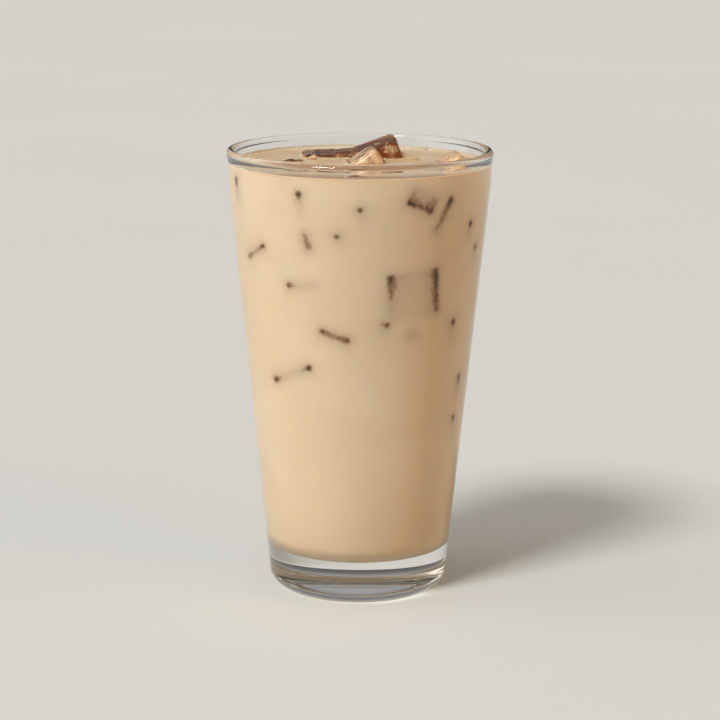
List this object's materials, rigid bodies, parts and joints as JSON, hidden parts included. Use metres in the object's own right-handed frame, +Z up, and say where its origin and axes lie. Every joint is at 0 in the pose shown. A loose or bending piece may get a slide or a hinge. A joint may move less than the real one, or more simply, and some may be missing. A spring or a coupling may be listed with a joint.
{
  "type": "iced milk tea in a glass",
  "caption": "Iced chai latte: milky spiced tea with floating ice, filled nearly to the rim of a tapered clear mixing glass with a thick foot.",
  "frame": {"origin": "centre of the glass's foot, on the surface it stands on", "axes": "+Z up along the glass's axis; the front of the drink faces -Y, +X to its right"},
  "size_m": [0.089, 0.089, 0.1519],
  "materials": {
    "glass": "clear, smooth pressed glass",
    "drink": "opaque milky tea, wet and smooth",
    "ice": "clear wet ice, tinted by the tea"
  },
  "bodies": {
    "root": {"glass": "glass", "drink": "drink", "ice_peak": "ice", "ice_slab": "ice", "ice_front": "ice", "ice_right": "ice", "ice_bump": "ice", "ice_fore": "ice"}
  },
  "joints": []
}
